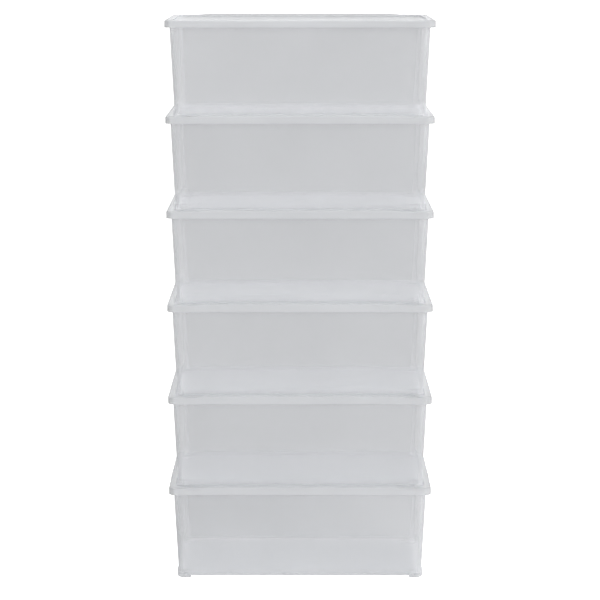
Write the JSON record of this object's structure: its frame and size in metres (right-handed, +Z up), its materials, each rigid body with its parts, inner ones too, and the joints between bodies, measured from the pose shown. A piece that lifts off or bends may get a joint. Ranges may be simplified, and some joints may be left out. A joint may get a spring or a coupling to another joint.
{
  "type": "stackable shoe box set",
  "caption": "Stack of identical translucent plastic shoe boxes: drafted box with corner feet, loose overhanging lid with a raised ridge that locates the box above.",
  "frame": {"origin": "middle of the stack's footprint, on the surface under the feet of the lowest box", "axes": "+X along the long side, +Y from the front long side to the back one, +Z up the stack"},
  "size_m": [0.3426, 0.2, 0.7246],
  "materials": {
    "box_plastic": "frosted translucent polypropylene, fine moulded grain",
    "lid_plastic": "frosted translucent polypropylene, smoother than the boxes"
  },
  "bodies": {
    "box_1": {"box_1": "box_plastic"},
    "lid_1": {"lid_1": "lid_plastic"},
    "box_2": {"box_2": "box_plastic"},
    "lid_2": {"lid_2": "lid_plastic"},
    "box_3": {"box_3": "box_plastic"},
    "lid_3": {"lid_3": "lid_plastic"},
    "box_4": {"box_4": "box_plastic"},
    "lid_4": {"lid_4": "lid_plastic"},
    "box_5": {"box_5": "box_plastic"},
    "lid_5": {"lid_5": "lid_plastic"},
    "box_6": {"box_6": "box_plastic"},
    "lid_6": {"lid_6": "lid_plastic"}
  },
  "joints": [
    {"name": "lid_1_lift", "type": "slide", "parent": "box_1", "child": "lid_1", "axis": [0, 0, 1], "range_m": [0, 0.1]},
    {"name": "box_2_lift", "type": "slide", "parent": "lid_1", "child": "box_2", "axis": [0, 0, 1], "range_m": [0, 0.05]},
    {"name": "lid_2_lift", "type": "slide", "parent": "box_2", "child": "lid_2", "axis": [0, 0, 1], "range_m": [0, 0.1]},
    {"name": "box_3_lift", "type": "slide", "parent": "lid_2", "child": "box_3", "axis": [0, 0, 1], "range_m": [0, 0.05]},
    {"name": "lid_3_lift", "type": "slide", "parent": "box_3", "child": "lid_3", "axis": [0, 0, 1], "range_m": [0, 0.1]},
    {"name": "box_4_lift", "type": "slide", "parent": "lid_3", "child": "box_4", "axis": [0, 0, 1], "range_m": [0, 0.05]},
    {"name": "lid_4_lift", "type": "slide", "parent": "box_4", "child": "lid_4", "axis": [0, 0, 1], "range_m": [0, 0.1]},
    {"name": "box_5_lift", "type": "slide", "parent": "lid_4", "child": "box_5", "axis": [0, 0, 1], "range_m": [0, 0.05]},
    {"name": "lid_5_lift", "type": "slide", "parent": "box_5", "child": "lid_5", "axis": [0, 0, 1], "range_m": [0, 0.1]},
    {"name": "box_6_lift", "type": "slide", "parent": "lid_5", "child": "box_6", "axis": [0, 0, 1], "range_m": [0, 0.05]},
    {"name": "lid_6_lift", "type": "slide", "parent": "box_6", "child": "lid_6", "axis": [0, 0, 1], "range_m": [0, 0.1]}
  ]
}
